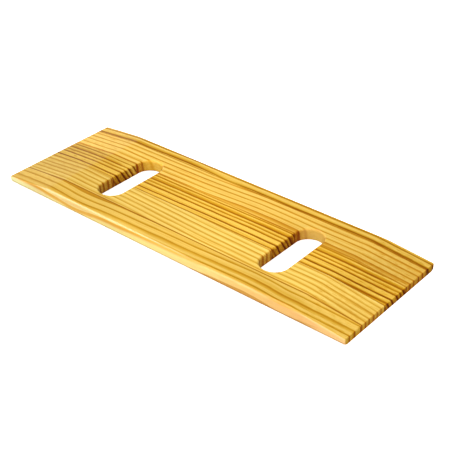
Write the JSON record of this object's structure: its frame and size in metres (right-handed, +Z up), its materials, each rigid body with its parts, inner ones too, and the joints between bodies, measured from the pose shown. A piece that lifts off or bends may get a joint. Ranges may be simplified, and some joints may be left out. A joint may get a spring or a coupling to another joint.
{
  "type": "transfer board",
  "caption": "Flat pine transfer board with a hand slot near each end, rounded edges and a long bevel on top at both ends, edge-glued from wooden staves.",
  "frame": {"origin": "middle of the flat underside, at the centre of the board's length and width", "axes": "+X along the board's length towards the right end, +Y across the board towards the narrow rear edge stave, +Z up through its thickness, out of the top face that is bevelled at both ends"},
  "size_m": [0.6096, 0.2032, 0.0191],
  "materials": {
    "front_edge_pine": "satin clear lacquer",
    "front_inner_pine": "satin clear lacquer",
    "middle_pine": "satin clear lacquer",
    "rear_inner_pine": "satin clear lacquer",
    "rear_edge_pine": "satin clear lacquer",
    "wood_glue": "cured wood glue under clear lacquer"
  },
  "bodies": {
    "root": {"front_edge_stave": "front_edge_pine", "front_inner_stave": "front_inner_pine", "middle_stave_left": "middle_pine", "middle_stave_centre": "middle_pine", "middle_stave_right": "middle_pine", "rear_inner_stave": "rear_inner_pine", "rear_edge_stave": "rear_edge_pine", "front_edge_glue_line": "wood_glue", "front_inner_glue_line_left": "wood_glue", "front_inner_glue_line_centre": "wood_glue", "front_inner_glue_line_right": "wood_glue", "rear_inner_glue_line_left": "wood_glue", "rear_inner_glue_line_centre": "wood_glue", "rear_inner_glue_line_right": "wood_glue", "rear_edge_glue_line": "wood_glue"}
  },
  "joints": []
}
